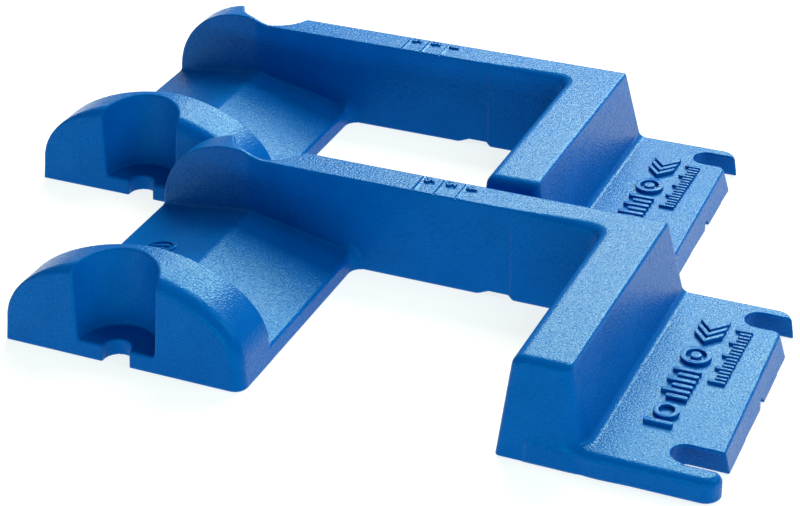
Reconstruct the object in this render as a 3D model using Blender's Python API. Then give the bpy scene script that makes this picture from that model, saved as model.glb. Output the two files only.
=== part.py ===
"""Pair of floor docks that hold the casters of wheeled kitchen equipment.

Each dock is one hollow plastic moulding, open underneath. Seen from above it is a C: a round-topped
block and an arched wall stand on the two sides of a roof-shaped ramp, the wall runs on as an arm,
and the arm ends in a crossbar with a screw-down plate behind it. A caster rolls along +X over the
ramp, between block and wall, and drops into the bay in front of the crossbar.

Dock coordinates in millimetres: X along the arm, Y across it, Z up, corner at the block's end.
"""
import math

import bmesh
import bpy
from mathutils import Vector

MM = 0.001

# Driving dimensions, millimetres
DOCK_LENGTH = 392.0
DOCK_WIDTH = 165.0
WALL = 3.5                      # moulded wall thickness
RAMP_MIDDLE = 78.0              # ridge of the ramp, and the start of the guide walls' flare
RAMP_HALF = 64.0                # ridge to either lip
RIDGE_HEIGHT = 23.0
LIP_HEIGHT = 9.0
LIP_LEAN = 2.0

BLOCK_MIDDLE = 71.0
BLOCK_HALF = 71.0
BLOCK_SPRING = 13.0             # height where the block's arch starts
BLOCK_HEIGHT = 56.0
BLOCK_DEPTH = 35.0
BLOCK_ROUND = 7.0               # radius of the block's front edge
BLOCK_LEAN = 0.1                # how far the block's front face leans back, per unit of height
ENTRY_FLARE = 11.0              # how far each guide wall opens towards the entry

ARM_FRONT = 138.5
ARM_HEIGHT = 56.5
ARM_FRONT_DRAFT = 1.5
ARM_BACK_DRAFT = 5.0
ARCH_START = 15.0
ARCH_MIDDLE = 72.0
ARCH_SPRING = 10.0
ARCH_HEIGHT = 60.0
ARCH_RUNOUT = 16.0              # length over which the arch's top falls to the arm's top

BAR_LEFT = 283.0
BAR_RIGHT = 332.0
BAR_TOP_LEFT = 293.0
BAR_TOP_RIGHT = 318.7
BAR_NEAR_DRAFT = 6.5
BAR_ROUND = 5.0

PLATE_START = 322.0
PLATE_HEIGHT = 13.7
PLATE_CORNERS = (7.5, 12.0)      # plan radius of the near and far corners
PLATE_DRAFT = 1.0
SLOT_WIDTH = 14.6
SLOT_DEPTH = 27.0
SLOT_CENTRES = (18.6, 149.0)

POCKET_FLOOR = 9.7
POCKET_DRAFT = 2.5              # how much wider a pocket is at its top than at its floor
FRONT_POCKET = (68.0, 1.9, 23.2)      # centre, and radius at the pocket's floor
BACK_POCKET = (82.5, 166.0, 21.0)
SCREW_NOTCH_RADIUS = 8.2

ARM_NOTCH = (218.0, 238.0, 2.6)       # start, end, height
EDGE_NOTCH_Y = 91.0
EDGE_NOTCH_RADIUS = 5.0

FAR_SHIFT = (-78.8, 165.5)      # far dock's corner from the near dock's corner

ARCH_STEPS = 20
ROUND_STEPS = 4
CIRCLE_STEPS = 32
OVERRUN = 2.0                   # how far a cutter runs past the face it opens

BLUE = (0.006, 0.102, 0.402, 1.0)


def clear_scene():
    for item in list(bpy.data.objects):
        bpy.data.objects.remove(item, do_unlink=True)


def make_mesh_object(name, bm):
    bmesh.ops.recalc_face_normals(bm, faces=bm.faces)
    mesh = bpy.data.meshes.new(name)
    bm.to_mesh(mesh)
    bm.free()
    item = bpy.data.objects.new(name, mesh)
    bpy.context.scene.collection.objects.link(item)
    return item


def add_loft(bm, rings):
    """Skin closed rings of equal point count and cap both ends; coordinates in millimetres."""
    loops = [[bm.verts.new(Vector(p) * MM) for p in ring] for ring in rings]
    count = len(rings[0])
    for low, high in zip(loops, loops[1:]):
        for i in range(count):
            j = (i + 1) % count
            bm.faces.new((low[i], low[j], high[j], high[i]))
    bm.faces.new(loops[0][::-1])
    bm.faces.new(loops[-1])


def loft(name, rings):
    bm = bmesh.new()
    add_loft(bm, rings)
    return make_mesh_object(name, bm)


def arc(centre, radius, start, end, steps):
    """Points of an arc in the XY plane, angles in degrees."""
    points = []
    for i in range(steps + 1):
        angle = math.radians(start + (end - start) * i / steps)
        points.append((centre[0] + radius * math.cos(angle), centre[1] + radius * math.sin(angle)))
    return points


def at_height(outline, z):
    return [(x, y, z) for x, y in outline]


def rounded_box(x0, x1, y0, y1, radius):
    """Outline of a rectangle with round corners, anticlockwise."""
    corners = ((x1, y0, -90), (x1, y1, 0), (x0, y1, 90), (x0, y0, 180))
    points = []
    for x, y, start in corners:
        centre = (x + (radius if x == x0 else -radius), y + (radius if y == y0 else -radius))
        points += arc(centre, radius, start, start + 90, ROUND_STEPS)
    return points


def flare(x):
    """How far a guide wall stands back from its straight line at x."""
    return max(0.0, RAMP_MIDDLE - x) * ENTRY_FLARE / RAMP_HALF


def block_outline(inset=0.0, base=0.0):
    """The block's arch in XZ, from its left foot over the top to its right foot."""
    half = BLOCK_HALF - inset
    rise = BLOCK_HEIGHT - BLOCK_SPRING - inset
    arch = []
    for i in range(ARCH_STEPS + 1):
        angle = math.pi * (1 - i / ARCH_STEPS)
        x = BLOCK_MIDDLE + (half - 1.0) * math.cos(angle)
        arch.append((x, BLOCK_SPRING + rise * math.sin(angle)))
    return [(BLOCK_MIDDLE - half, base)] + arch + [(BLOCK_MIDDLE + half, base)]


def block():
    """The block, with its guide face cut back where the entry flares."""
    rings = []
    for i in range(ROUND_STEPS + 1):
        angle = math.radians(90) * i / ROUND_STEPS
        y = BLOCK_ROUND * (1 - math.cos(angle))
        inset = BLOCK_ROUND * (1 - math.sin(angle))
        rings.append([(x, y + BLOCK_LEAN * z, z) for x, z in block_outline(inset)])
    rings.append([(x, BLOCK_DEPTH, z) for x, z in block_outline()])
    body = loft("block", rings)
    reach = -OVERRUN
    beyond = BLOCK_DEPTH + OVERRUN
    wedge = [(RAMP_MIDDLE, BLOCK_DEPTH), (RAMP_MIDDLE, beyond), (reach, beyond),
             (reach, BLOCK_DEPTH - flare(reach))]
    heights = (-OVERRUN, BLOCK_HEIGHT + OVERRUN)
    add_boolean(body, loft("entry_wedge", [at_height(wedge, z) for z in heights]), "DIFFERENCE")
    return body


def ramp():
    left = RAMP_MIDDLE - RAMP_HALF
    right = RAMP_MIDDLE + RAMP_HALF
    outline = [(left - LIP_LEAN, 0), (left, LIP_HEIGHT), (RAMP_MIDDLE, RIDGE_HEIGHT),
               (right, LIP_HEIGHT), (right + LIP_LEAN, 0)]
    start = BLOCK_DEPTH - ENTRY_FLARE - WALL
    end = DOCK_WIDTH - WALL * 3
    return loft("ramp", [[(x, y, z) for x, z in outline] for y in (start, end)])


def arm_top(x):
    """Height of the arched wall and arm at x."""
    if x < ARCH_MIDDLE:
        share = (ARCH_MIDDLE - x) / (ARCH_MIDDLE - ARCH_START)
        return ARCH_SPRING + (ARCH_HEIGHT - ARCH_SPRING) * math.sqrt(max(0.0, 1 - share ** 2))
    fall = min(1.0, (x - ARCH_MIDDLE) / ARCH_RUNOUT)
    return ARM_HEIGHT + (ARCH_HEIGHT - ARM_HEIGHT) * (1 + math.cos(math.pi * fall)) / 2


def arm_front(x, z):
    return ARM_FRONT + ARM_FRONT_DRAFT * z / ARM_HEIGHT + flare(x)


def arm_back(z):
    return DOCK_WIDTH - ARM_BACK_DRAFT * z / ARM_HEIGHT


def arm_stations(end):
    """Where the arched wall and arm are cut across, from the entry to x = end."""
    steps = ARCH_STEPS // 2
    stations = {ARCH_MIDDLE, RAMP_MIDDLE, end}
    for i in range(steps):
        angle = math.pi * (1 - i / steps / 2)
        stations.add(ARCH_MIDDLE + (ARCH_MIDDLE - ARCH_START) * math.cos(angle))
    for i in range(1, ROUND_STEPS + 1):
        stations.add(ARCH_MIDDLE + ARCH_RUNOUT * i / ROUND_STEPS)
    return sorted(stations)


def arm():
    rings = []
    for x in arm_stations(BAR_TOP_LEFT + WALL):
        top = arm_top(x)
        rings.append([(x, arm_front(x, 0), 0), (x, arm_back(0), 0), (x, arm_back(top), top),
                      (x, arm_front(x, top), top)])
    return loft("arm", rings)


def crossbar():
    foot = rounded_box(BAR_LEFT, BAR_RIGHT, 0, DOCK_WIDTH, BAR_ROUND)
    top = rounded_box(BAR_TOP_LEFT, BAR_TOP_RIGHT, BAR_NEAR_DRAFT, DOCK_WIDTH - ARM_BACK_DRAFT, BAR_ROUND)
    return loft("crossbar", [at_height(foot, 0), at_height(top, ARM_HEIGHT)])


def plate():
    rings = []
    edge = ((0.0, 0.0), (PLATE_HEIGHT - PLATE_DRAFT * 2, PLATE_DRAFT), (PLATE_HEIGHT, PLATE_DRAFT * 3))
    for z, inset in edge:
        low, high = inset / 3, DOCK_WIDTH - inset / 3
        right = DOCK_LENGTH - inset
        near_radius, far_radius = (radius - inset for radius in PLATE_CORNERS)
        ring = [(PLATE_START, low)]
        ring += arc((right - near_radius, low + near_radius), near_radius, -90, 0, ROUND_STEPS)
        ring += arc((right - far_radius, high - far_radius), far_radius, 0, 90, ROUND_STEPS)
        ring += [(PLATE_START, high)]
        rings.append(at_height(ring, z))
    return loft("plate", rings)


def pocket_outline(centre, radius, side):
    """A half circle about centre, run out past the dock's edge on the given side (-1 or +1)."""
    half = arc(centre, radius, 0, -180 * side, CIRCLE_STEPS // 2)
    edge = centre[1] + side * (radius / 2)
    return half + [(centre[0] - radius, edge), (centre[0] + radius, edge)]


def pocket_cutters(bm):
    for (x, y, radius), side in ((FRONT_POCKET, -1), (BACK_POCKET, 1)):
        foot = pocket_outline((x, y), radius, side)
        top = pocket_outline((x, y), radius + POCKET_DRAFT, side)
        add_loft(bm, [at_height(foot, POCKET_FLOOR), at_height(top, ARCH_HEIGHT + OVERRUN)])


def screw_cutters(bm):
    """Half-round screw notches through the floor of both pockets."""
    for (x, y, _), side in ((FRONT_POCKET, -1), (BACK_POCKET, 1)):
        outline = pocket_outline((x, y), SCREW_NOTCH_RADIUS, side)
        add_loft(bm, [at_height(outline, -OVERRUN), at_height(outline, POCKET_FLOOR + OVERRUN)])


def slot_cutters(bm):
    half = SLOT_WIDTH / 2
    for y in SLOT_CENTRES:
        centre = (DOCK_LENGTH - SLOT_DEPTH + half, y)
        outline = arc(centre, half, 90, 270, CIRCLE_STEPS // 2)
        outline += [(DOCK_LENGTH + OVERRUN, y - half), (DOCK_LENGTH + OVERRUN, y + half)]
        add_loft(bm, [at_height(outline, -OVERRUN), at_height(outline, PLATE_HEIGHT + OVERRUN)])


def edge_cutters(bm):
    """The low notch under the arm, and the half-round one under the plate's edge."""
    start, end, height = ARM_NOTCH
    outline = [(start - height, -height), (start + height * 2, height), (end - height, height),
               (end + height, -height)]
    ys = (ARM_FRONT - OVERRUN, ARM_FRONT + WALL + OVERRUN * 2)
    add_loft(bm, [[(x, y, z) for x, z in outline] for y in ys])
    ring = arc((EDGE_NOTCH_Y, 0.0), EDGE_NOTCH_RADIUS, 0, 180, ROUND_STEPS * 2)
    ring += [(EDGE_NOTCH_Y - EDGE_NOTCH_RADIUS, -OVERRUN), (EDGE_NOTCH_Y + EDGE_NOTCH_RADIUS, -OVERRUN)]
    xs = (DOCK_LENGTH - WALL, DOCK_LENGTH + OVERRUN)
    add_loft(bm, [[(x, y, z) for y, z in ring] for x in xs])


def pocket_clearance(pocket):
    """How far from the pocket's centre line a hollow must stay to leave a full wall."""
    return pocket[2] + POCKET_DRAFT + WALL


def rectangle(box, z_left, z_right):
    """Corners of box (x0, x1, y0, y1), tilted to two heights."""
    x0, x1, y0, y1 = box
    return [(x0, y0, z_left), (x1, y0, z_right), (x1, y1, z_right), (x0, y1, z_left)]


def add_cell(bm, foot, top, z_left, z_right):
    """A hollow from below the floor line up to a flat or sloping roof."""
    add_loft(bm, [rectangle(foot, -OVERRUN, -OVERRUN), rectangle(top, z_left, z_right)])


def block_cells(bm):
    """Hollows left and right of the front pocket, under the block's arch."""
    outline = block_outline(WALL)[1:-1]
    clear = pocket_clearance(FRONT_POCKET)
    spans = ((BLOCK_MIDDLE - BLOCK_HALF + WALL, FRONT_POCKET[0] - clear),
             (FRONT_POCKET[0] + clear, BLOCK_MIDDLE + BLOCK_HALF - WALL))
    for low, high in spans:
        inside = [(x, z) for x, z in outline if low < x < high]
        ends = [(min(x for x, z in inside), -OVERRUN), (max(x for x, z in inside), -OVERRUN)]
        ring = [ends[0]] + inside + [ends[1]]
        front = [(x, BLOCK_ROUND + BLOCK_LEAN * z, z) for x, z in ring]
        back = [(x, BLOCK_DEPTH - flare(x) - WALL, z) for x, z in ring]
        add_loft(bm, [front, back])


def ramp_cells(bm):
    """Rows of hollows under the ramp, on both sides of the rib below its ridge."""
    columns, rows = 4, 3
    slope = (RIDGE_HEIGHT - LIP_HEIGHT) / RAMP_HALF
    reach = RAMP_HALF - WALL
    width = (2 * reach + WALL) / columns
    start = BLOCK_DEPTH + WALL
    depth = (ARM_FRONT - start) / rows
    for i in range(columns):
        x0 = RAMP_MIDDLE - reach + width * i
        x1 = x0 + width - WALL
        z0, z1 = (RIDGE_HEIGHT - WALL - slope * abs(x - RAMP_MIDDLE) for x in (x0, x1))
        for j in range(rows):
            y0 = start + depth * j
            box = (x0, x1, y0, y0 + depth - WALL)
            add_cell(bm, box, box, z0, z1)


def arm_cells(bm):
    """One hollow under the arched wall's end and a row of them along the arm."""
    clear = pocket_clearance(BACK_POCKET)
    arch_end = BACK_POCKET[0] - clear
    stations = [x for x in arm_stations(arch_end) if ARCH_START + WALL < x <= arch_end]
    rings = []
    for x in stations:
        top = arm_top(x) - WALL
        front = arm_front(x, 0) + WALL
        back = arm_back(top) - WALL
        rings.append([(x, front, -OVERRUN), (x, back, -OVERRUN), (x, back, top), (x, front, top)])
    add_loft(bm, rings)
    start = BACK_POCKET[0] + clear
    count = 4
    pitch = (BAR_LEFT - start) / count
    height = ARM_HEIGHT - WALL
    for i in range(count):
        x0 = start + pitch * i
        x1 = x0 + pitch - WALL
        foot = (x0, x1, ARM_FRONT + WALL, arm_back(0) - WALL)
        top = (x0, x1, arm_front(x0, height) + WALL, arm_back(height) - WALL)
        add_cell(bm, foot, top, height, height)


def crossbar_cells(bm):
    count = 4
    start, end = WALL + 1.0, DOCK_WIDTH - WALL
    pitch = (end - start + WALL) / count
    height = ARM_HEIGHT - WALL
    left_lean = (BAR_TOP_LEFT - BAR_LEFT) * height / ARM_HEIGHT
    right_lean = (BAR_RIGHT - BAR_TOP_RIGHT) * height / ARM_HEIGHT
    x0, x1 = BAR_LEFT + WALL + 0.5, BAR_RIGHT - WALL - 1.0
    for i in range(count):
        y0 = start + pitch * i
        y1 = y0 + pitch - WALL
        near = BAR_NEAR_DRAFT if i == 0 else 0.0
        far = ARM_BACK_DRAFT if i == count - 1 else 0.0
        top = (x0 + left_lean, x1 - right_lean, y0 + near, y1 - far)
        add_cell(bm, (x0, x1, y0, y1), top, height, height)


def plate_cells(bm):
    """Three hollows between the plate's two screw slots."""
    count = 3
    clear = SLOT_WIDTH / 2 + WALL
    start, end = SLOT_CENTRES[0] + clear, SLOT_CENTRES[1] - clear
    pitch = (end - start + WALL) / count
    for i in range(count):
        y0 = start + pitch * i
        box = (BAR_RIGHT, DOCK_LENGTH - WALL * 2.2, y0, y0 + pitch - WALL)
        add_cell(bm, box, box, PLATE_HEIGHT - WALL, PLATE_HEIGHT - WALL)


def hidden_tool(item):
    item.hide_render = True
    item.display_type = "WIRE"
    return item


def add_boolean(item, tool, operation):
    modifier = item.modifiers.new(operation.lower() + "_" + tool.name, "BOOLEAN")
    modifier.operation = operation
    modifier.solver = "EXACT"
    modifier.object = hidden_tool(tool)


def cutter(name, *fillers):
    bm = bmesh.new()
    for fill in fillers:
        fill(bm)
    return make_mesh_object(name, bm)


def dock_mesh():
    """The whole moulding as one closed mesh."""
    body = block()
    for other in (ramp(), arm(), crossbar(), plate()):
        add_boolean(body, other, "UNION")
    hollows = cutter("hollows", block_cells, ramp_cells, arm_cells, crossbar_cells, plate_cells)
    add_boolean(body, hollows, "DIFFERENCE")
    for name, fill in (("pockets", pocket_cutters), ("screw_notches", screw_cutters),
                       ("slots", slot_cutters), ("edge_notches", edge_cutters)):
        add_boolean(body, cutter(name, fill), "DIFFERENCE")
    graph = bpy.context.evaluated_depsgraph_get()
    mesh = bpy.data.meshes.new_from_object(body.evaluated_get(graph))
    mesh.name = "dock"
    mesh.shade_smooth()
    mesh.set_sharp_from_angle(angle=math.radians(30))
    clear_scene()
    return mesh


def plastic(name):
    material = bpy.data.materials.new(name)
    material.use_nodes = True
    shader = material.node_tree.nodes["Principled BSDF"]
    shader.inputs["Base Color"].default_value = BLUE
    shader.inputs["Roughness"].default_value = 0.45
    shader.inputs["Metallic"].default_value = 0.0
    return material


def place_dock(name, mesh, corner, holder):
    item = bpy.data.objects.new(name, mesh)
    bpy.context.scene.collection.objects.link(item)
    item.data.materials.clear()
    item.data.materials.append(plastic(name + "_plastic"))
    item.location = (corner[0] * MM, corner[1] * MM, 0)
    item.parent = holder
    return item


def main():
    clear_scene()
    mesh = dock_mesh()
    holder = bpy.data.objects.new("dock_pair", None)
    bpy.context.scene.collection.objects.link(holder)
    middle = ((DOCK_LENGTH + FAR_SHIFT[0]) / 2, (DOCK_WIDTH + FAR_SHIFT[1]) / 2)
    near = (-middle[0], -middle[1])
    place_dock("near_dock", mesh, near, holder)
    place_dock("far_dock", mesh.copy(), (near[0] + FAR_SHIFT[0], near[1] + FAR_SHIFT[1]), holder)


main()
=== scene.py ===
"""Visual model of the pair of floor docks for the casters of wheeled kitchen equipment.

Each dock is one injection moulding. Its shape is written as a distance field, in dock
millimetres (X along the arm, Y across it, Z up, corner at the block's end), and a surface net turns
the field into a mesh, so that every edge is rounded and every inner corner has its fillet.
"""
import math

import bmesh
import bpy
import numpy as np
from mathutils import Matrix, Vector


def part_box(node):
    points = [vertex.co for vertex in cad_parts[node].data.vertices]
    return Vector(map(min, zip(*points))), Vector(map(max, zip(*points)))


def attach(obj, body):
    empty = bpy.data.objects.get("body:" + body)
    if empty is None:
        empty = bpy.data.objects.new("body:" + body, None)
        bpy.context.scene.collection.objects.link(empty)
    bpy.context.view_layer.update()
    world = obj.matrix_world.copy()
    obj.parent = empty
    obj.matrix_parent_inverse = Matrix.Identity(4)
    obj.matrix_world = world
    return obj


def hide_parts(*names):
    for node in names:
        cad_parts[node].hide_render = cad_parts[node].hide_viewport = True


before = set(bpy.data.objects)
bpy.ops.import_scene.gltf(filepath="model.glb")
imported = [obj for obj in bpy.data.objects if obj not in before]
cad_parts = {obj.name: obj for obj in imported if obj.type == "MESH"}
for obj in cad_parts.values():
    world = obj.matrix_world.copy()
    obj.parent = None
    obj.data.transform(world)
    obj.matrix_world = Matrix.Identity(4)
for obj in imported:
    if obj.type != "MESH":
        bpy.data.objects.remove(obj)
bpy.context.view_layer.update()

MM = 0.001

# ---------------------------------------------------------------- dock dimensions, millimetres
WIDTH = 165.0
WALL = 3.5                      # moulded wall thickness
RIB = 2.4
RAMP_HOLLOW_END = 150.0         # where the ribs change from a grid to walls across the arm
ARM_HOLLOW_END = 280.0          # and then to walls across the crossbar and plate
BASE_ROUND = 0.6                # edge of every rim that stands on the floor

RAMP_MIDDLE = 78.0              # ridge of the ramp, and where the guide walls start to flare
RAMP_HALF = 64.0
RIDGE = 23.0                    # height of the ridge
LIP = 9.0                       # height of the ramp's left and right ends
LIP_LEAN = 1.0                  # how far an end's face leans in over its height
RIDGE_ROUND = 0.7
LIP_ROUND = 1.6
RAMP_BACK = 154.5

BLOCK_MIDDLE = 71.5
BLOCK_HALF = 71.5               # at the floor
ARCH_STEP = 1.0                 # how far an arch's foot draws in, from the floor to its spring
BLOCK_SPRING = 13.0             # height at which the block's arch springs
BLOCK_HEIGHT = 56.0
BLOCK_DEPTH = 35.0
BLOCK_LEAN = 0.1                # how far the front face leans back, per unit of height
BLOCK_ROUND = (1.2, 7.0)        # front edge radius at the block's left end, and from its middle on
ENTRY_FLARE = 11.0              # how far each guide wall draws back at the ramp's left end

ARM_FRONT = 138.5
ARM_HEIGHT = 56.5
ARM_FRONT_DRAFT = 1.5           # how far the arm's front face leans in over the arm's height
BACK_DRAFT = 5.0                # and its back face
ARCH_MIDDLE = 72.0
ARCH_HALF = 57.0
ARCH_SPRING = 10.0
ARCH_HEIGHT = 60.0
ARCH_RUNOUT = 16.0              # length over which the arch comes down to the arm

BAR_LEFT = 282.4                # crossbar at the floor
BAR_RIGHT = 332.0
BAR_TOP_LEFT = 289.0            # and at its top
BAR_TOP_RIGHT = 319.5
BAR_NEAR_DRAFT = 6.5            # how far its near face leans in over that height
CORNER_FILLET = 7.0             # inner corner between arm and crossbar, seen from above
TOP_EDGE = (0.8, 4.8, 0.9)      # radius along the arm, more at that corner, more on the crossbar's right
BAR_NEAR_EDGE = (2.6, 4.6)      # radius at the crossbar's near face, on its left and on top
BAR_FOOT_SWEEP = 8.0            # added to it down the right edge
BLOCK_FILLET = (2.0, 0.1)       # between block and ramp, and at the ramp's right end
WALL_FILLET = (1.4, 7.6)        # between wall and ramp, and at the ramp's right end

PLATE_START = 300.0
PLATE_HEIGHT = 13.7
PLATE_TUCK = 1.4                # how far the plate's near side starts inside the crossbar's
PLATE_FLANGE = 0.4              # how far it then stands out, past the crossbar's foot
PLATE_CORNER = (9.0, 12.0)      # near and far corner radius, seen from above
PLATE_REACH = 394.8             # right side at the floor, at Y = 0
PLATE_SKEW = 0.015              # the right side runs in by this much per unit of Y
PLATE_DRAFT = (1.8, 4.6)        # lean of the right side, at its near and far ends
PLATE_EDGE = (1.4, 4.2)         # radius of the plate's top edge, on its right side and at its finger
FINGER_EXTRA = (1.7, 1.4)       # how far the near and far fingers stand out past the right side
FINGER_BASE = 1.6               # radius of the near finger's bottom edge
PLATE_FILLET = 3.2
BACK_EDGE = (0.8, 2.8)          # radius of the back face's edges, at the wall and along the arm

SLOT_WIDTH = 14.6
SLOT_END = 367.2                # the slot's closed, round end
SLOT_DRAFT = 0.16               # lean of a slot's far wall, wider at the floor, per unit of depth
SLOT_CENTRES = (18.6, 149.0)
SLOT_MOUTH = 5.0                # plan radius of the corner on the near side of a slot's mouth
MOUTH_INSET = 0.8               # keeps the cut that makes this corner within the slot
POCKET_FLOOR = 9.7
POCKET_DRAFT = 0.048            # widening of a pocket's radius per unit of height
FRONT_POCKET = (68.0, 1.9, 23.2)      # centre, and radius at the pocket's floor
BACK_POCKET = (82.5, 166.0, 21.0)
SCREW_NOTCH = 8.2               # radius of the opening for a screw's shank
RIM_ROUND = 1.0                 # edge of the block's back face
POCKET_RIM = 1.3
POCKET_FOOT = 1.6               # radius where a pocket's wall meets its floor
SMALL_RIM = 0.8                 # radius at the screw openings, and where a rib meets the hollow
SLOT_RIM = 0.7
NOTCH_RIM = 0.5
TICK_RIM = 0.1

ARM_NOTCH = (218.0, 238.5, 2.6)       # start, end, height
NOTCH_SLOPES = (0.42, 1.1)            # rise of its left and right ends, per unit of X
ARM_RECESS = (223.0, 237.0, 6.0, 0.12)    # panel over the notch: start, end, gap to the top, depth
EDGE_NOTCH = (91.0, 3.2, 387.5)       # centre, radius, where it starts in X

TICKS = (178.6, 191.3, 204.0)         # stop positions for wheels of 6, 5 and 4 inches
TICK_HALF = 0.75
TICK_DEPTH = 1.2
TICK_LIP = 0.65                 # height of the burr to the right of a scribed tick
TICK_LIP_WIDTH = 1.5
TICK_WRAP = 0.9                 # how far a tick runs down over the arm's front edge
DIGIT_GAP = 5.0                 # from a tick to the middle of its digit
DIGIT_Y = 153.2
DIGIT_SIZE = 8.4
DIGIT_BOLD = 0.12               # how far its strokes are fattened, on each side
DIGIT_HEIGHT = 1.3
SIGN_HEIGHT = 2.2               # of the plate's large signs
SIGN_STROKE = 2.4
SIGN_ROW = 354.5                # middle of their row
SCALE_ROW = 371.0               # middle of the scale's long bars
SCALE_HEIGHT = 1.6
OVAL_HEIGHT = 1.0
MARK_BEVEL = 0.18
MARK_WELD = 0.002
SINK = 0.4                      # how far a raised mark's foot goes below the face it stands on

# ---------------------------------------------------------------- plastic
BLUE_DEEP = (0.0, 0.090, 0.385, 1)
BLUE_PALE = (0.0, 0.102, 0.420, 1)
SPECULAR = (0.05, 0.29)         # in the grain's pits and on its peaks
SHEEN_TINT = (0.02, 0.8, 1.0, 1)      # cool, as the plastic's reflections look
ROUGHNESS = (0.22, 0.30)        # over the flow mottle
GRAIN_PER_METRE = 800
GRAIN_DEPTH = 0.3               # millimetres
MOTTLE_PER_METRE = 45


# ---------------------------------------------------------------- distance field tools
def fillet(a, b, radius):
    """Union of two solids with a concave fillet between them."""
    u = np.maximum(radius - a, 0)
    v = np.maximum(radius - b, 0)
    return np.maximum(np.minimum(a, b), radius) - np.sqrt(u * u + v * v)


def rounded(a, b, radius):
    """Intersection of two solids with a rounded edge between them."""
    u = np.maximum(a + radius, 0)
    v = np.maximum(b + radius, 0)
    return np.minimum(np.maximum(a, b), -radius) + np.sqrt(u * u + v * v)


def cut(a, b, radius):
    """Solid a less solid b, with a rounded rim."""
    return rounded(a, -b, radius)


def smooth_step(value, start, end, low=0.0, high=1.0):
    """Smooth step from low, up to start, to high, from end on; start may be the greater."""
    t = np.clip((value - start) / (end - start), 0, 1)
    return low + (high - low) * t * t * (3 - 2 * t)


def ellipse(x, z, half, rise):
    """Distance to an ellipse about the origin, exact on it and close to true near it."""
    k0 = np.sqrt((x / half) ** 2 + (z / rise) ** 2)
    k1 = np.sqrt((x / half ** 2) ** 2 + (z / rise ** 2) ** 2) + 1e-9
    return k0 * (k0 - 1) / k1


def leaning(run, rise):
    """Factor from an offset across a leaning face to the distance from it."""
    return rise / math.hypot(run, rise)


# ---------------------------------------------------------------- the dock's solids
def flare(x):
    """How far the guide walls stand back from the wheel's path, left of the ridge."""
    return np.maximum(RAMP_MIDDLE - x, 0) * ENTRY_FLARE / RAMP_HALF


def block_field(x, y, z):
    dx = x - BLOCK_MIDDLE
    above = ellipse(dx, z - BLOCK_SPRING, BLOCK_HALF - ARCH_STEP, BLOCK_HEIGHT - BLOCK_SPRING)
    below = np.abs(dx) - BLOCK_HALF + ARCH_STEP * z / BLOCK_SPRING
    arch = np.where(z > BLOCK_SPRING, above, below)
    front = (BLOCK_LEAN * z - y) * leaning(BLOCK_LEAN, 1)
    body = rounded(arch, front, smooth_step(x, 8, 58, *BLOCK_ROUND))
    return rounded(body, y - BLOCK_DEPTH + flare(x), RIM_ROUND)


def ramp_field(x, y, z):
    slope = (RIDGE - LIP) / RAMP_HALF
    tilt = leaning(slope, 1)
    right = (z - RIDGE + (x - RAMP_MIDDLE) * slope) * tilt
    left = (z - RIDGE - (x - RAMP_MIDDLE) * slope) * tilt
    top = rounded(left, right, RIDGE_ROUND)
    lips = (np.abs(x - RAMP_MIDDLE) - RAMP_HALF - LIP_LEAN * (1 - z / LIP)) * leaning(LIP_LEAN, LIP)
    body = rounded(top, lips, LIP_ROUND)
    return np.maximum(np.maximum(body, y - RAMP_BACK), BLOCK_DEPTH / 2 - y)


def wall_top(x, z):
    """Top face of arched wall, arm and crossbar."""
    rise = ARCH_HEIGHT - ARCH_SPRING
    arch = ellipse(x - ARCH_MIDDLE, z - ARCH_SPRING, ARCH_HALF, rise)
    below = ARCH_MIDDLE - ARCH_HALF - ARCH_STEP + ARCH_STEP * z / ARCH_SPRING - x
    entry = np.where(z > ARCH_SPRING, arch, below)
    fall = np.clip((x - ARCH_MIDDLE) / ARCH_RUNOUT, 0, 1)
    height = ARM_HEIGHT + (ARCH_HEIGHT - ARM_HEIGHT) * (1 + np.cos(np.pi * fall)) / 2
    return np.where(x < ARCH_MIDDLE, entry, z - height)


def bar_near_side(x, y, z):
    """Near face of the crossbar, and the radius of the edges that meet it, widest at its right foot."""
    face = (BAR_NEAR_DRAFT * z / ARM_HEIGHT - y) * leaning(BAR_NEAR_DRAFT, ARM_HEIGHT)
    sweep = BAR_FOOT_SWEEP * smooth_step(x, 304, 316) * smooth_step(z, 50, 14)
    return face, smooth_step(x, 286, 294, *BAR_NEAR_EDGE) + sweep


def plate_field(x, y, z):
    """The screw plate, with a finger beyond each slot; the near finger has fuller roundings."""
    near_corner, far_corner = PLATE_CORNER
    at_finger = smooth_step(y, 20, 13)
    at_far_finger = smooth_step(y, 146, 153)
    up = z / PLATE_HEIGHT
    near_extra, far_extra = FINGER_EXTRA
    extra = near_extra * at_finger * (1 + up) + far_extra * at_far_finger * (0.5 + 1.5 * up)
    draft = PLATE_DRAFT[0] + (PLATE_DRAFT[1] - PLATE_DRAFT[0]) * y / WIDTH
    reach = x - PLATE_REACH + PLATE_SKEW * y + draft * up - extra
    near = smooth_step(x, 312, 336, PLATE_TUCK, -PLATE_FLANGE) - y
    plan = rounded(rounded(reach, near, near_corner), y - WIDTH, far_corner)
    for centre in SLOT_CENTRES:
        mouth = np.minimum(y - centre + SLOT_WIDTH / 2 - MOUTH_INSET, centre - y)
        plan = rounded(plan, np.minimum(mouth, x - SLOT_END - 10), SLOT_MOUTH)
    side, finger = PLATE_EDGE
    edge = side + (finger - side) * at_finger + smooth_step(y, 150, 158)
    return rounded(np.maximum(plan, PLATE_START - x), z - PLATE_HEIGHT, edge)


def top_edge_radius(x):
    """Sharp along the arm, soft where the arm meets the crossbar, and between the two on its right."""
    arm, corner, right = TOP_EDGE
    at_corner = smooth_step(x, 220, 285) * smooth_step(x, 312, 302)
    return arm + corner * at_corner + right * smooth_step(x, 300, 310)


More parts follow.
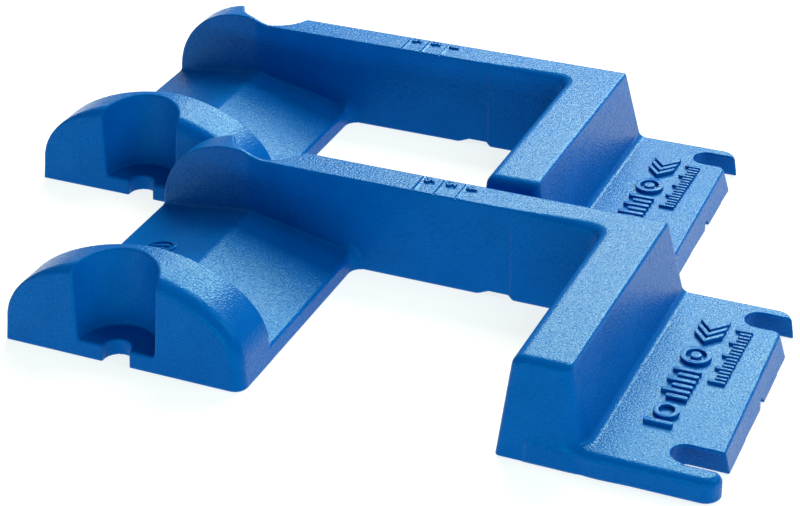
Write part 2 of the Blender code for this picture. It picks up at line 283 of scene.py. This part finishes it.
def wall_field(x, y, z):
    """Arched wall, arm, crossbar and plate, which share one back face."""
    up = z / ARM_HEIGHT
    arm = np.maximum(ARM_FRONT + ARM_FRONT_DRAFT * up + flare(x) - y, x - PLATE_START)
    left_lean = BAR_TOP_LEFT - BAR_LEFT
    right_lean = BAR_RIGHT - BAR_TOP_RIGHT
    left = (BAR_LEFT + left_lean * up - x) * leaning(left_lean, ARM_HEIGHT)
    right = (x - BAR_RIGHT + right_lean * up) * leaning(right_lean, ARM_HEIGHT)
    sides = fillet(arm, np.maximum(left, right), CORNER_FILLET)
    upper = rounded(sides, wall_top(x, z), top_edge_radius(x))
    near, near_radius = bar_near_side(x, y, z)
    upper = rounded(upper, near, near_radius)
    body = fillet(upper, plate_field(x, y, z), PLATE_FILLET)
    back = (y - WIDTH + BACK_DRAFT * up) * leaning(BACK_DRAFT, ARM_HEIGHT)
    return rounded(body, back, smooth_step(x, 20, 140, *BACK_EDGE))


def outer_field(x, y, z):
    """The dock as a full solid that runs on below the floor, with its openings cut."""
    body = fillet(block_field(x, y, z), ramp_field(x, y, z), smooth_step(x, 130, 139, *BLOCK_FILLET))
    body = fillet(body, wall_field(x, y, z), smooth_step(x, 130, 142, *WALL_FILLET))
    for px, py, radius in (FRONT_POCKET, BACK_POCKET):
        reach = np.sqrt((x - px) ** 2 + (y - py) ** 2)
        side = reach - radius - POCKET_DRAFT * (z - POCKET_FLOOR)
        body = cut(body, rounded(side, POCKET_FLOOR - z, POCKET_FOOT), POCKET_RIM)
        body = cut(body, reach - SCREW_NOTCH, SMALL_RIM)
    for centre in SLOT_CENTRES:
        start = SLOT_END + SLOT_WIDTH / 2
        slot = np.sqrt(np.maximum(start - x, 0) ** 2 + (y - centre) ** 2) - SLOT_WIDTH / 2
        slot = slot - SLOT_DRAFT * (PLATE_HEIGHT - z) * smooth_step(y, centre - 4, centre + 4)
        body = cut(body, slot, SLOT_RIM)
    return body


def notch_field(x, y, z):
    """Low notch under the arm's front wall, and the half-round one under the plate's edge."""
    start, end, height = ARM_NOTCH
    left_slope, right_slope = NOTCH_SLOPES
    left = (z - (x - start) * left_slope) * leaning(left_slope, 1)
    right = (z - (end - x) * right_slope) * leaning(right_slope, 1)
    under_arm = np.maximum(np.maximum(left, right), z - height)
    under_arm = np.maximum(under_arm, y - ARM_FRONT - WALL - 2)
    centre, radius, start = EDGE_NOTCH
    under_edge = np.maximum(np.sqrt((y - centre) ** 2 + z ** 2) - radius, start - x)
    start, end, gap, depth = ARM_RECESS
    panel = np.maximum(np.maximum(start - x, x - end), z - ARM_HEIGHT + gap)
    panel = np.maximum(panel, y - ARM_FRONT - ARM_FRONT_DRAFT * z / ARM_HEIGHT - depth)
    return np.minimum(np.minimum(under_arm, under_edge), panel)


def scribe_ticks(body, x, y, z):
    """Cut a V across the arm's top and over its front edge at each tick, with a burr beside it."""
    low, back = ARM_HEIGHT - TICK_WRAP, WIDTH - BACK_DRAFT
    on_top = smooth_step(z, low, low + 1) * smooth_step(y, back, back - 3)
    on_top = on_top * (x > TICKS[0] - 3) * (x < TICKS[-1] + 3)
    for tick in TICKS:
        across = x - tick - TICK_HALF
        burr = np.where(across > 0, np.clip(1 - across / TICK_LIP_WIDTH, 0, 1), 0)
        body = body - TICK_LIP * burr * on_top
    for tick in TICKS:
        slope = TICK_HALF / TICK_DEPTH
        groove = (np.abs(x - tick) - TICK_HALF - body * slope) * leaning(slope, 1)
        groove = np.maximum(groove, low - z)
        body = cut(body, groove, TICK_RIM)
    return body


def rib_row(t, first, pitch):
    """A rib at first, and one at every pitch from it, both ways."""
    return np.abs(np.mod(t - first + pitch / 2, pitch) - pitch / 2) - RIB / 2


def rib_field(x, y, z):
    """Ribs across the hollow underside."""
    under_ramp = np.minimum(rib_row(x, RAMP_MIDDLE, 32), rib_row(y, 87.25, 34.5))
    under_ramp = np.maximum(under_ramp, x - RAMP_HOLLOW_END)
    under_arm = np.maximum(rib_row(x, 127, 44), RAMP_HOLLOW_END - x)
    under_arm = np.maximum(under_arm, x - ARM_HOLLOW_END)
    under_plate = np.maximum(rib_row(y, 20.5, 41), ARM_HOLLOW_END - x)
    return np.minimum(np.minimum(under_ramp, under_arm), under_plate)


def dock_field(x, y, z):
    """The whole dock: cored out from below between its ribs, marked, notched, and cut off at the floor."""
    outer = outer_field(x, y, z)
    hollow = cut(outer + WALL, rib_field(x, y, z), SMALL_RIM)
    body = cut(scribe_ticks(outer, x, y, z), hollow, BASE_ROUND)
    body = cut(body, notch_field(x, y, z), NOTCH_RIM)
    finger = smooth_step(x, 335, 355) * smooth_step(y, 17, 11)
    return rounded(body, -z, BASE_ROUND + (FINGER_BASE - BASE_ROUND) * finger)


# ---------------------------------------------------------------- surface net
TICK_STEP = 0.35                # grid step across the ticks, as a part of the step elsewhere
LEVEL_SHIFT = 0.13              # keeps the grid's levels off the flat top faces, millimetres


def field_gradient(field, points, step=0.02):
    """Slope of a field at each point, by central differences."""
    columns = points.T
    out = np.empty_like(points)
    for axis in range(3):
        ahead, behind = columns.copy(), columns.copy()
        ahead[axis] += step
        behind[axis] -= step
        out[:, axis] = (field(*ahead) - field(*behind)) / (2 * step)
    return out


def mean_crossing(values, cells):
    """Mean of the points where the surface crosses each cell's edges, as fractions of the cell."""
    total = np.zeros((len(cells), 3))
    count = np.zeros(len(cells))
    for axis in range(3):
        a, b = [k for k in range(3) if k != axis]
        for corner_a, corner_b in ((0, 0), (0, 1), (1, 0), (1, 1)):
            start = np.zeros(3, dtype=int)
            start[a], start[b] = corner_a, corner_b
            end = start.copy()
            end[axis] = 1
            first = values[tuple((cells + start).T)]
            second = values[tuple((cells + end).T)]
            crossed = (first < 0) != (second < 0)
            place = np.where(crossed, first / np.where(crossed, first - second, 1), 0)
            total += crossed[:, None] * (start + place[:, None] * (end - start))
            count += crossed
    return total / count[:, None]


def surface_net(field, axes):
    """Vertices on field = 0, one in each cell of the grid that the surface crosses, and the
    quads that join them. The axes may be spaced unevenly. Each vertex starts at its cell's mean
    crossing, and moves onto the surface along the field's slope without leaving the cell."""
    values = field(axes[0][:, None, None], axes[1][None, :, None], axes[2][None, None, :])
    inside = values < 0
    corners = inside.astype(np.uint8)
    for axis in range(3):
        front = [slice(None)] * 3
        rear = [slice(None)] * 3
        front[axis] = slice(1, None)
        rear[axis] = slice(None, -1)
        corners = corners[tuple(front)] + corners[tuple(rear)]
    active = (corners > 0) & (corners < 8)
    index = np.full(active.shape, -1, dtype=np.int64)
    cells = np.argwhere(active)
    index[active] = np.arange(len(cells))

    corner = np.stack([axis[k] for axis, k in zip(axes, cells.T)], axis=1).astype(np.float64)
    size = np.stack([np.diff(axis)[k] for axis, k in zip(axes, cells.T)], axis=1)
    points = corner + mean_crossing(values, cells) * size
    for _ in range(4):
        gradient = field_gradient(field, points)
        length = np.maximum((gradient ** 2).sum(axis=1), 0.25)
        points -= gradient * (field(*points.T) / length)[:, None]
        points = np.clip(points, corner - 0.05 * size, corner + 1.05 * size)

    quads = []
    for axis in range(3):
        a, b = [k for k in range(3) if k != axis]
        first = [slice(1, -1)] * 3
        second = [slice(1, -1)] * 3
        first[axis] = slice(None, -1)
        second[axis] = slice(1, None)
        start, end = inside[tuple(first)], inside[tuple(second)]
        for rising in (True, False):
            edge = (start & ~end) if rising else (~start & end)
            cell = np.argwhere(edge)
            shift_a, shift_b = np.zeros(3, dtype=int), np.zeros(3, dtype=int)
            shift_a[a], shift_b[b] = 1, 1
            ring = [cell, cell + shift_a, cell + shift_a + shift_b, cell + shift_b]
            quad = np.stack([index[tuple(c.T)] for c in ring], axis=1)
            if rising == (axis == 1):
                quad = quad[:, ::-1]
            quads.append(quad)
    return points, np.concatenate(quads)


def dock_mesh():
    """The dock's surface as a mesh in metres, on a grid that is finer along X at the ticks."""
    step = 1.0
    margin = 2.5 * step
    end = PLATE_REACH + 4 + margin
    fine = np.arange(TICKS[0] - 3, TICKS[-1] + 4, TICK_STEP * step)
    along = np.concatenate([np.arange(-margin, fine[0] - step / 2, step), fine,
                            np.arange(fine[-1] + step, end, step)])
    across = np.arange(-margin, WIDTH + margin, step)
    upwards = np.arange(LEVEL_SHIFT - margin, ARCH_HEIGHT + margin, step)
    axes = [axis.astype(np.float32) for axis in (along, across, upwards)]
    points, quads = surface_net(dock_field, axes)
    mesh = bpy.data.meshes.new("dock")
    mesh.from_pydata(points * MM, [], quads)
    mesh.update()
    mesh.validate()
    return mesh


def flatten(mesh, angle):
    """Dissolve the net's flat areas into large faces; rounded areas keep their density."""
    holder = bpy.data.objects.new("flatten", mesh)
    bpy.context.scene.collection.objects.link(holder)
    modifier = holder.modifiers.new("flat_areas", "DECIMATE")
    modifier.decimate_type = "DISSOLVE"
    modifier.angle_limit = math.radians(angle)
    graph = bpy.context.evaluated_depsgraph_get()
    result = bpy.data.meshes.new_from_object(holder.evaluated_get(graph))
    bpy.data.objects.remove(holder)
    result.name = "dock_surface"
    return result


def shade_from_field(mesh):
    """Smooth shading whose normals are the field's own, so flat faces stay flat."""
    points = np.empty(len(mesh.vertices) * 3)
    mesh.vertices.foreach_get("co", points)
    points = points.reshape(-1, 3) / MM
    normals = field_gradient(dock_field, points)
    normals /= np.linalg.norm(normals, axis=1)[:, None] + 1e-12
    mesh.shade_smooth()
    mesh.normals_split_custom_set_from_vertices(normals)


# ---------------------------------------------------------------- raised marks
def add_mark(bm, curve, place, height):
    """Raise a flat curve or text to height above its plane and add it to bm; metres."""
    curve.fill_mode = "BOTH"
    curve.bevel_depth = MARK_BEVEL * MM
    curve.bevel_resolution = 1
    curve.extrude = (height + SINK) / 2 * MM - curve.bevel_depth
    item = bpy.data.objects.new("mark", curve)
    bpy.context.scene.collection.objects.link(item)
    graph = bpy.context.evaluated_depsgraph_get()
    mesh = bpy.data.meshes.new_from_object(item.evaluated_get(graph))
    mesh.transform(place @ Matrix.Translation((0, 0, (height - SINK) / 2 * MM)))
    bm.from_mesh(mesh)
    bpy.data.objects.remove(item)
    bpy.data.meshes.remove(mesh)


def outline_curve(outlines):
    """Filled flat curve from closed outlines in millimetres; an inner outline is a hole."""
    curve = bpy.data.curves.new("outline", "CURVE")
    curve.dimensions = "2D"
    for outline in outlines:
        spline = curve.splines.new("POLY")
        spline.points.add(len(outline) - 1)
        for point, (x, y) in zip(spline.points, outline):
            point.co = (x * MM, y * MM, 0, 1)
        spline.use_cyclic_u = True
    return curve


def oval(half_x, half_y, steps=48):
    angles = [2 * math.pi * i / steps for i in range(steps)]
    return [(half_x * math.cos(a), half_y * math.sin(a)) for a in angles]


def ring_curve(radius, width, stretch=1.0):
    return outline_curve([oval(radius * stretch, radius), oval((radius - width) * stretch, radius - width)])


def bar_curve(length, width):
    """A stadium: a bar with round ends, along X."""
    half = length / 2 - width / 2
    outline = []
    for i in range(25):
        angle = -math.pi / 2 + math.pi * i / 24
        outline.append((half + width / 2 * math.cos(angle), width / 2 * math.sin(angle)))
    return outline_curve([outline + [(-x, -y) for x, y in outline]])


def chevron_curve(half, width):
    """A V that points along +X, half wide to each side."""
    tip = half * 0.55
    slant = width * 1.15
    return outline_curve([[(-tip, -half), (tip, 0), (-tip, half), (-tip - slant, half), (tip - slant, 0),
                           (-tip - slant, -half)]])


def digit_curve(digit):
    curve = bpy.data.curves.new("digit", "FONT")
    curve.body = digit
    curve.size = DIGIT_SIZE * MM
    curve.offset = DIGIT_BOLD * MM
    curve.align_x = "CENTER"
    curve.align_y = "CENTER"
    return curve


def on_face(x, y, z, turn=0.0, tilt=0.0):
    """Placement at a point in dock millimetres, turned about Z and tilted about Y, in degrees."""
    tilted = Matrix.Rotation(math.radians(tilt), 4, "Y")
    return Matrix.Translation(Vector((x, y, z)) * MM) @ tilted @ Matrix.Rotation(math.radians(turn), 4, "Z")


def arm_marks(bm):
    for x, digit in zip(TICKS, "654"):
        add_mark(bm, digit_curve(digit), on_face(x + DIGIT_GAP, DIGIT_Y, ARM_HEIGHT, -90), DIGIT_HEIGHT)


def plate_marks(bm):
    """Generic signs: the way in, the wheel, bars and a plain scale; no lettering."""
    z = PLATE_HEIGHT
    for i in range(3):
        add_mark(bm, chevron_curve(7.5, SIGN_STROKE), on_face(SIGN_ROW, 131 - 6 * i, z, -90), SIGN_HEIGHT)
    add_mark(bm, ring_curve(8.0, SIGN_STROKE), on_face(SIGN_ROW, 101, z), SIGN_HEIGHT)
    add_mark(bm, outline_curve([oval(2.8, 2.8)]), on_face(SIGN_ROW, 101, z), SIGN_HEIGHT)
    for i, length in enumerate((15, 11, 15, 11, 15, 11)):
        place = on_face(SIGN_ROW + (15 - length) / 2, 86 - 5 * i, z)
        add_mark(bm, bar_curve(length, SIGN_STROKE), place, SIGN_HEIGHT)
    add_mark(bm, ring_curve(6.5, 2.2), on_face(SIGN_ROW + 1, 48, z), SIGN_HEIGHT)
    add_mark(bm, bar_curve(15, SIGN_STROKE), on_face(SIGN_ROW, 37, z), SIGN_HEIGHT)
    for i in range(17):
        length = 9.0 if i % 4 == 0 else 6.0
        x = SCALE_ROW + (9 - length) / 2
        add_mark(bm, bar_curve(length, 1.5), on_face(x, 133 - 3.2 * i, z), SCALE_HEIGHT)


def ramp_marks(bm):
    """A plain oval on the entry slope."""
    x = 43.0
    slope = (RIDGE - LIP) / RAMP_HALF
    z = RIDGE - (RAMP_MIDDLE - x) * slope
    tilt = -math.degrees(math.atan(slope))
    add_mark(bm, ring_curve(7.5, 1.4, 1.5), on_face(x, 94, z, 0, tilt), OVAL_HEIGHT)
    add_mark(bm, bar_curve(12.0, 1.6), on_face(x, 96, z, 0, tilt), OVAL_HEIGHT)
    add_mark(bm, bar_curve(9.0, 1.6), on_face(x, 92.5, z, 0, tilt), OVAL_HEIGHT)


def marks_mesh():
    bm = bmesh.new()
    for fill in (arm_marks, plate_marks, ramp_marks):
        fill(bm)
    bmesh.ops.remove_doubles(bm, verts=bm.verts, dist=MARK_WELD * MM)
    bmesh.ops.recalc_face_normals(bm, faces=bm.faces)
    mesh = bpy.data.meshes.new("marks")
    bm.to_mesh(mesh)
    bm.free()
    mesh.shade_smooth()
    mesh.set_sharp_from_angle(angle=math.radians(50))
    return mesh


# ---------------------------------------------------------------- material
def add_noise(tree, place, scale, detail):
    noise = tree.nodes.new("ShaderNodeTexNoise")
    noise.inputs["Scale"].default_value = scale
    noise.inputs["Detail"].default_value = detail
    tree.links.new(place.outputs["Vector"], noise.inputs["Vector"])
    return noise.outputs["Fac"]


def spread(tree, value, low, high):
    """Map the middle of a noise's range to low..high."""
    node = tree.nodes.new("ShaderNodeMapRange")
    node.inputs["From Min"].default_value = 0.3
    node.inputs["From Max"].default_value = 0.7
    node.inputs["To Min"].default_value = low
    node.inputs["To Max"].default_value = high
    tree.links.new(value, node.inputs["Value"])
    return node.outputs["Result"]


def moulded_plastic(name, shift):
    """Satin blue polymer: mould grain, faint flow mottle, and gloss that varies with both."""
    material = bpy.data.materials.new(name)
    material.use_nodes = True
    tree = material.node_tree
    shader = tree.nodes["Principled BSDF"]
    shader.inputs["Specular Tint"].default_value = SHEEN_TINT

    coordinates = tree.nodes.new("ShaderNodeTexCoord")
    place = tree.nodes.new("ShaderNodeMapping")
    place.inputs["Location"].default_value = shift
    tree.links.new(coordinates.outputs["Object"], place.inputs["Vector"])
    grain = add_noise(tree, place, GRAIN_PER_METRE, detail=2)
    mottle = add_noise(tree, place, MOTTLE_PER_METRE, detail=3)

    mix = tree.nodes.new("ShaderNodeMix")
    mix.data_type = "RGBA"
    colour_a, colour_b, colour_mixed = mix.inputs[6], mix.inputs[7], mix.outputs[2]    # the RGBA sockets
    colour_a.default_value = BLUE_DEEP
    colour_b.default_value = BLUE_PALE
    tree.links.new(spread(tree, mottle, 0, 1), mix.inputs["Factor"])
    tree.links.new(colour_mixed, shader.inputs["Base Color"])
    tree.links.new(spread(tree, mottle, *ROUGHNESS), shader.inputs["Roughness"])
    tree.links.new(spread(tree, grain, *SPECULAR), shader.inputs["Specular IOR Level"])

    bump = tree.nodes.new("ShaderNodeBump")
    bump.inputs["Strength"].default_value = 1.0
    bump.inputs["Distance"].default_value = GRAIN_DEPTH * MM
    tree.links.new(grain, bump.inputs["Height"])
    tree.links.new(bump.outputs["Normal"], shader.inputs["Normal"])
    return material


# ---------------------------------------------------------------- camera, floor and light
CAMERA_FROM_DOCK = Vector((599.79, -811.91, 626.32))     # from the near dock's corner
CAMERA_YAW = -24.25
CAMERA_PITCH = 30.35
CAMERA_ROLL = -1.17
CAMERA_LENS = 97.4
FLOOR_GAP = 0.0003                                       # metres, from the docks to the floor
FLOOR_COLOUR = (0.34, 0.31, 0.32, 1)
FLOOR_GLOW = (0.95, 1, 0.97, 1)
FLOOR_GLOW_STRENGTH = 0.82
ROOM_LIGHT = 0.24


def add_camera(corner):
    """Camera at its place from the near dock's corner; positive roll turns it anticlockwise."""
    yaw, pitch, roll = (math.radians(a) for a in (CAMERA_YAW, CAMERA_PITCH, CAMERA_ROLL))
    look = Vector((math.sin(yaw) * math.cos(pitch), math.cos(yaw) * math.cos(pitch), -math.sin(pitch)))
    right = Vector((math.cos(yaw), -math.sin(yaw), 0))
    up = right.cross(look)
    right, up = (right * math.cos(roll) + up * math.sin(roll), up * math.cos(roll) - right * math.sin(roll))
    data = bpy.data.cameras.new("camera")
    data.sensor_width = 36
    data.lens = CAMERA_LENS
    data.clip_end = 20
    item = bpy.data.objects.new("camera", data)
    bpy.context.scene.collection.objects.link(item)
    basis = Matrix((right, up, -look)).transposed().to_4x4()
    item.matrix_world = Matrix.Translation(corner + CAMERA_FROM_DOCK * MM) @ basis
    bpy.context.scene.camera = item


def add_floor():
    """White paper that glows a little, so that it stays white while it takes a faint shadow."""
    half = 4.0
    mesh = bpy.data.meshes.new("floor")
    corners = [(-half, -half, 0), (half, -half, 0), (half, half, 0), (-half, half, 0)]
    mesh.from_pydata(corners, [], [(0, 1, 2, 3)])
    item = bpy.data.objects.new("floor", mesh)
    bpy.context.scene.collection.objects.link(item)
    item.location.z = -FLOOR_GAP
    material = bpy.data.materials.new("floor_paper")
    material.use_nodes = True
    shader = material.node_tree.nodes["Principled BSDF"]
    shader.inputs["Base Color"].default_value = FLOOR_COLOUR
    shader.inputs["Roughness"].default_value = 0.9
    shader.inputs["Emission Color"].default_value = FLOOR_GLOW
    shader.inputs["Emission Strength"].default_value = FLOOR_GLOW_STRENGTH
    mesh.materials.append(material)


def add_softbox(name, azimuth, elevation, distance, size, power, colour):
    """A rectangular light that faces the object; azimuth 0 is behind it, positive to the right.
    Angles are in degrees, distance and size in metres, power in watts."""
    a, e = math.radians(azimuth), math.radians(elevation)
    offset = Vector((math.sin(a) * math.cos(e), math.cos(a) * math.cos(e), math.sin(e)))
    data = bpy.data.lights.new(name, "AREA")
    data.shape = "RECTANGLE"
    data.size, data.size_y = size
    data.energy = power
    data.color = colour
    item = bpy.data.objects.new(name, data)
    bpy.context.scene.collection.objects.link(item)
    item.location = offset * distance
    item.rotation_euler = offset.to_track_quat("Z", "Y").to_euler()


def add_lights():
    add_softbox("back_softbox", -5, 44, 2.0, (1.35, 1.4), 67, (0.94, 1.0, 0.75))
    add_softbox("edge_light", 6, 35, 1.9, (0.22, 0.3), 8, (0.9, 1.0, 0.85))
    add_softbox("front_strip", 178, 6, 2.0, (1.3, 0.16), 10, (0.6, 1.0, 1.0))
    add_softbox("right_fill", 88, 42, 2.2, (1.0, 1.0), 20, (0.8, 1.0, 1.0))
    world = bpy.data.worlds.new("studio")
    bpy.context.scene.world = world
    world.use_nodes = True
    background = world.node_tree.nodes["Background"]
    background.inputs["Color"].default_value = (1, 1, 1, 1)
    background.inputs["Strength"].default_value = ROOM_LIGHT


# ---------------------------------------------------------------- assembly
FLAT_ANGLE = 0.4                # degrees
GRAIN_SHIFT = (("near_dock", (0, 0, 0)), ("far_dock", (3.1, 1.7, 0.9)))    # so the docks' grain differs


def build():
    mesh = flatten(dock_mesh(), FLAT_ANGLE)
    shade_from_field(mesh)
    marks = marks_mesh()
    for node, shift in GRAIN_SHIFT:
        plastic = moulded_plastic(node + "_blue_plastic", shift)
        for name, surface in (("moulding", mesh), ("raised_marks", marks)):
            item = bpy.data.objects.new(node + "_" + name, surface.copy())
            item.data.materials.append(plastic)
            bpy.context.scene.collection.objects.link(item)
            item.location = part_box(node)[0]
            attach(item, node)
            if surface is mesh:
                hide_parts(node)


build()
add_camera(Vector(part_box("near_dock")[0]))
add_floor()
add_lights()
bpy.context.scene.view_settings.view_transform = "Standard"
